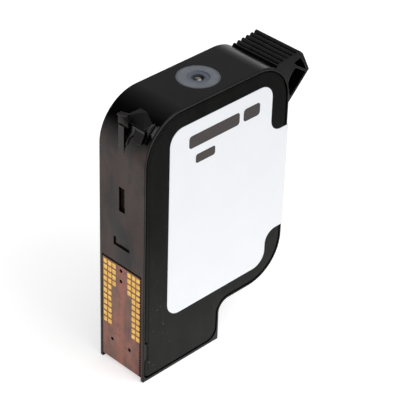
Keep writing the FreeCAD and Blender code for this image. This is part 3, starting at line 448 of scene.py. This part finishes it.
def clear_film(name, colour):
    """Thin glossy plastic film that shows a little of what is behind it."""
    shader = Shader(name, IOR=1.5, Alpha=0.55, Coat_Weight=0.3)
    ripple = shader.noise(140, 4, 0.6)
    shader.set(Base_Color=shader.ramp(ripple, (0.3, scaled(colour, 0.88)), (0.7, colour)))
    shader.set(Roughness=shader.span(ripple, 0.12, 0.24))
    shader.set(Normal=shader.bump(ripple, 0.06))
    return shader.material


def cured(name, colour, roughness):
    """Cast or cured polymer with a soft orange-peel surface."""
    shader = Shader(name, IOR=1.5)
    peel = shader.noise(1500, 3)
    shader.set(Base_Color=shader.ramp(peel, (0.3, scaled(colour, 0.85)), (0.7, colour)))
    shader.set(Roughness=shader.span(peel, roughness - 0.05, roughness + 0.08))
    shader.set(Normal=shader.bump(peel, 0.01, shader.rounded(0.06)))
    return shader.material


def woven_steel():
    """Fine plain-weave filter cloth."""
    shader = Shader("woven_steel", Metallic=1.0)
    weave = shader.product(*(shader.wave(shader.axis(letter), WIRE_PITCH) for letter in "XZ"))
    shader.set(Base_Color=shader.ramp(shader.span(weave, 0, 1, -1, 1), (0.2, (0.2, 0.2, 0.21)),
                                      (0.8, (0.6, 0.6, 0.61))))
    shader.set(Roughness=shader.span(shader.noise(700, 3), 0.28, 0.42))
    shader.set(Normal=shader.bump(weave, 0.02))
    return shader.material


def paint(node, material):
    """Give a CAD node its finished material."""
    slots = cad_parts[node].data.materials
    slots.clear()
    slots.append(material)


# ---------------------------------------------------------------- pieces

def new_piece(name, made, material):
    """A mesh piece of the case."""
    bmesh.ops.recalc_face_normals(made, faces=made.faces)
    mesh = bpy.data.meshes.new(name)
    made.to_mesh(mesh)
    made.free()
    mesh.materials.append(material)
    piece = bpy.data.objects.new(name, mesh)
    bpy.context.collection.objects.link(piece)
    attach(piece, "case")
    return piece


def islands(node):
    """Boxes (lowest, highest corner) of a node's separate solids."""
    made = bmesh.new()
    made.from_mesh(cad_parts[node].data)
    bmesh.ops.remove_doubles(made, verts=made.verts, dist=0.002 * MM)
    waiting, boxes = set(made.verts), []
    while waiting:
        reached = [waiting.pop()]
        corners = []
        while reached:
            vertex = reached.pop()
            corners.append(vertex.co.copy())
            for edge in vertex.link_edges:
                other = edge.other_vert(vertex)
                if other in waiting:
                    waiting.discard(other)
                    reached.append(other)
        boxes.append(tuple(Vector([pick(c[i] for c in corners) for i in range(3)]) for pick in (min, max)))
    made.free()
    return sorted(boxes, key=lambda box: (round(box[0].y, 6), round(box[0].z, 6)))


def rounded_loop(half_across, half_up, radius, steps=5):
    """Points (across, up) round a rectangle with rounded corners."""
    points = []
    for quarter in range(4):
        middle = [(half_across - radius) * (1 if quarter in (0, 3) else -1),
                  (half_up - radius) * (1 if quarter in (0, 1) else -1)]
        for step in range(steps + 1):
            angle = math.pi / 2 * (quarter + step / steps)
            points.append((middle[0] + radius * math.cos(angle), middle[1] + radius * math.sin(angle)))
    return points


def stacked(made, layers):
    """Adds a closed body through loops of points, one above another, capped at both ends."""
    loops = [[made.verts.new(point) for point in layer] for layer in layers]
    for low, high in zip(loops, loops[1:]):
        for i in range(len(low)):
            j = (i + 1) % len(low)
            made.faces.new((low[i], low[j], high[j], high[i]))
    made.faces.new(reversed(loops[0]))
    made.faces.new(loops[-1])


def contact_pads(side, material):
    """Gold contacts with rounded corners, a raised rim and a dished middle."""
    node = f"{side}_contact_pads"
    made = bmesh.new()
    for low, high in islands(node):
        middle = (low + high) / 2
        half_y, half_z = (high.y - low.y) / 2, (high.z - low.z) / 2
        layers = []
        for share, rise in PAD_PROFILE:
            outline = rounded_loop(half_y * share, half_z * share, PAD_CORNER * MM * share)
            layers.append([(high.x - rise * MM, middle.y + y, middle.z + z) for y, z in outline])
        stacked(made, layers)
    piece = new_piece(f"{side}_gold_contacts", made, material)
    for face in piece.data.polygons:
        face.use_smooth = True
    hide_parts(node)


def print_bar(name, left, right, low, high, material):
    """Plain rounded bar printed on the near face of the label."""
    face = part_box("label")[0].y
    half = ((right - left) / 2 * MM, (high - low) / 2 * MM)
    middle = (FRONT + (left + right) / 2 * MM, (low + high) / 2 * MM)
    outline = rounded_loop(*half, min(half) * 0.5)
    made = bmesh.new()
    stacked(made, [[(middle[0] + x, face - rise * MM, middle[1] + z) for x, z in outline]
                   for rise in INK_LEVELS])
    new_piece(name, made, material)


def pressed_spring():
    """A copy of the bow spring with a mesh of its own, riding with the case in place of the CAD node; it
    stays centred in the bag.
    """
    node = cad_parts["bow_spring"]
    piece = bpy.data.objects.new("flexing_spring", node.data.copy())
    piece.matrix_world = node.matrix_world
    bpy.context.collection.objects.link(piece)
    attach(piece, "case")
    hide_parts("bow_spring")
    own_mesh(piece)


def nozzle_rows(material):
    """Two staggered rows of nozzle openings on the underside of the nozzle plate."""
    low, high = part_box("nozzle_plate")
    middle = (low + high) / 2
    length = high.x - low.x
    pitch = length * NOZZLE_SHARE / NOZZLES_IN_ROW
    start = low.x + length * (1 - NOZZLE_SHARE) / 2
    turns = [math.tau * k / NOZZLE_SIDES for k in range(NOZZLE_SIDES)]
    ring = [(NOZZLE_RADIUS * MM * math.cos(turn), NOZZLE_RADIUS * MM * math.sin(turn)) for turn in turns]
    made = bmesh.new()
    for row, side in enumerate((-1, 1)):
        y = middle.y + side * NOZZLE_ROW_GAP / 2 * MM
        for i in range(NOZZLES_IN_ROW):
            x = start + pitch * (i + 0.5 * row)
            stacked(made, [[(x + u, y + w, low.z - rise * MM) for u, w in ring] for rise in NOZZLE_LEVELS])
    new_piece("nozzle_openings", made, material)


# ---------------------------------------------------------------- camera, light and floor

# Camera: places and distances in metres, the lens and sensor in mm, the shift as a share of the frame.
AIM = Vector((FRONT + 27 * MM, 0, 42 * MM))
AZIMUTH = math.radians(-45.32)
ELEVATION = math.radians(34.55)
ROLL = math.radians(1.61)
DISTANCE = 0.5049
LENS = 164.48
SENSOR = 36
SHIFT = (0.01605, 0.0212)

# Key light: places and size in metres.
KEY_PLACE = Vector((0.18, -0.8, 0.75))
KEY_AIM = Vector((0, 0, 0.04))
KEY_SIDE = 0.7
KEY_POWER = 3.0

# Floor: distances are measured towards the camera's right, in metres.
FLOOR_HALF = 3.0                         # half of the floor's side
GREY_START, GREY_END = 0.09, 0.19        # the white fades to grey between these
FLOOR_GREY = (0.42, 0.42, 0.42)
GLOW_LEFT, GLOW_RIGHT = 0.72, 0.56       # strength of the floor's own light, left and right of the fall
GLOW_START, GLOW_END = -0.13, -0.04      # the glow falls between these

# Strength of the surround by direction.
FRONT_SKY = 0.88
HORIZON = 0.95
BACK_HIGH_LEFT = 0.02
BACK_HIGH_RIGHT = 0.36


def add_camera():
    """Camera that looks down on the edge between the contact face and the labelled side."""
    data = bpy.data.cameras.new("camera")
    data.lens = LENS
    data.sensor_width = SENSOR
    data.shift_x, data.shift_y = SHIFT
    data.clip_start, data.clip_end = 0.05, 10
    camera = bpy.data.objects.new("camera", data)
    bpy.context.collection.objects.link(camera)
    back = Vector((math.sin(AZIMUTH) * math.cos(ELEVATION), -math.cos(AZIMUTH) * math.cos(ELEVATION),
                   math.sin(ELEVATION)))
    right = (-back).cross(Vector((0, 0, 1))).normalized()
    up = right.cross(-back)
    rolled_right = right * math.cos(ROLL) + up * math.sin(ROLL)
    rolled_up = up * math.cos(ROLL) - right * math.sin(ROLL)
    turn = Matrix((rolled_right, rolled_up, back)).transposed()
    camera.matrix_world = Matrix.Translation(AIM + back * DISTANCE) @ turn.to_4x4()
    bpy.context.scene.camera = camera


def add_key_light():
    """Weak square light in front of the labelled side and above it."""
    data = bpy.data.lights.new("key", "AREA")
    data.shape = "RECTANGLE"
    data.size, data.size_y = KEY_SIDE, KEY_SIDE
    data.energy = KEY_POWER
    light = bpy.data.objects.new("key", data)
    light.location = KEY_PLACE
    light.rotation_mode = "QUATERNION"
    light.rotation_quaternion = (KEY_AIM - KEY_PLACE).to_track_quat("-Z", "Y")
    bpy.context.collection.objects.link(light)


def add_floor():
    """White floor with a glow of its own that leaves no horizon; it fades to grey beyond the view."""
    made = bmesh.new()
    bmesh.ops.create_grid(made, x_segments=1, y_segments=1, size=FLOOR_HALF)
    mesh = bpy.data.meshes.new("floor")
    made.to_mesh(mesh)
    made.free()
    floor = bpy.data.objects.new("floor", mesh)
    bpy.context.collection.objects.link(floor)
    shader = Shader("floor_white", Roughness=0.9, Specular_IOR_Level=0.0, Emission_Color=(1, 1, 1))
    to_right = shader.product(shader.math("SUBTRACT", shader.axis("X"), shader.axis("Y")), 0.7)
    grey = shader.span(to_right, 0.0, 1.0, GREY_START, GREY_END)
    white = shader.ramp(shader.noise(3, 2), (0.3, (0.82, 0.82, 0.82)), (0.7, (0.86, 0.86, 0.86)))
    shader.set(Base_Color=shader.mix(grey, white, FLOOR_GREY))
    glow = shader.span(to_right, GLOW_LEFT, GLOW_RIGHT, GLOW_START, GLOW_END)
    shader.set(Emission_Strength=shader.product(glow, shader.math("SUBTRACT", 1.0, grey)))
    mesh.materials.append(shader.material)
    floor.location.z = CAD_BOX[0].z - 0.05 * MM


def add_world():
    """Studio surround: a bright front half and horizon, a dimmer back, and dark above the far left."""
    world = bpy.data.worlds.new("studio")
    world.use_nodes = True
    tree = world.node_tree
    background = tree.nodes["Background"]
    background.inputs["Color"].default_value = (1, 1, 1, 1)
    direction = tree.nodes.new("ShaderNodeTexCoord").outputs["Generated"]
    parts = tree.nodes.new("ShaderNodeSeparateXYZ")
    tree.links.new(direction, parts.inputs[0])

    def smooth(source, start, end, low, high):
        """A value that goes from low to high as the source goes from start to end."""
        made = tree.nodes.new("ShaderNodeMapRange")
        made.interpolation_type = "SMOOTHSTEP"
        tree.links.new(source, made.inputs["Value"])
        for name, value in (("From Min", start), ("From Max", end), ("To Min", low), ("To Max", high)):
            if isinstance(value, bpy.types.NodeSocket):
                tree.links.new(value, made.inputs[name])
            else:
                made.inputs[name].default_value = value
        return made.outputs["Result"]

    high_back = smooth(parts.outputs["X"], -0.4, 0.45, BACK_HIGH_LEFT, BACK_HIGH_RIGHT)
    back = smooth(parts.outputs["Z"], 0.03, 0.5, HORIZON, high_back)
    strength = smooth(parts.outputs["Y"], -0.25, 0.3, FRONT_SKY, back)
    tree.links.new(strength, background.inputs["Strength"])
    bpy.context.scene.world = world


CASE_BLACK = moulded_black("case_black", (0.0012, 0.0012, 0.0012), roughness=0.16, gloss=0.25,
                           worn=(0.024, 0.023, 0.022))
COVER_BLACK = moulded_black("cover_black", (0.0015, 0.0015, 0.0013), roughness=0.38, gloss=0.05,
                            worn=(0.022, 0.022, 0.021), floor_light_and_dust=0.8)
GOLD = gold_plate()
STEEL = (0.62, 0.61, 0.59)
MATERIALS = {
    "outer_frame": CASE_BLACK,
    "left_side_cover": COVER_BLACK,
    "right_side_cover": COVER_BLACK,
    "left_contact_pads": GOLD,
    "right_contact_pads": GOLD,
    "label": label_white(),
    "inner_frame": boss_plastic(),
    "filter_carrier": cured("carrier_plastic", (0.42, 0.45, 0.5), 0.4),
    "flex_circuit": flex_film(),
    "fill_ball": metal("ball_steel", (0.4, 0.38, 0.35), 0.14),
    "left_pressure_plate": metal("brushed_plate", STEEL, 0.3, (0.05, 1, 1)),
    "bow_spring": metal("spring_steel", scaled(STEEL, 0.9), 0.22, (0.05, 1, 1)),
    "left_filter_screen": woven_steel(),
    "left_bag_film": clear_film("bag_film", (0.78, 0.78, 0.76)),
    "left_edge_guard": clear_film("guard_film", (0.7, 0.72, 0.7)),
    "printhead_die": metal("silicon", (0.3, 0.31, 0.35), 0.18),
    "die_bond": cured("bond_adhesive", (0.05, 0.045, 0.04), 0.4),
    "front_encapsulant": cured("encapsulant", (0.02, 0.02, 0.021), 0.28),
    "nozzle_plate": metal("nozzle_nickel", (0.78, 0.64, 0.4), 0.24),
    "ink_barrier": cured("barrier_resist", (0.5, 0.38, 0.14), 0.3),
}
TWINS = {"right_pressure_plate": "left_pressure_plate", "right_filter_screen": "left_filter_screen",
         "right_bag_film": "left_bag_film", "right_edge_guard": "left_edge_guard",
         "rear_encapsulant": "front_encapsulant"}

for node, material in MATERIALS.items():
    paint(node, material)
for node, twin in TWINS.items():
    paint(node, MATERIALS[twin])

for side in ("left", "right"):
    contact_pads(side, GOLD)
pressed_spring()
INK = label_ink()
for name, edges in PRINT_BARS.items():
    print_bar(name, *edges, INK)
nozzle_rows(cured("nozzle_dark", (0.02, 0.02, 0.02), 0.5))

add_floor()
add_world()
add_key_light()
add_camera()
bpy.context.scene.view_settings.view_transform = "Standard"
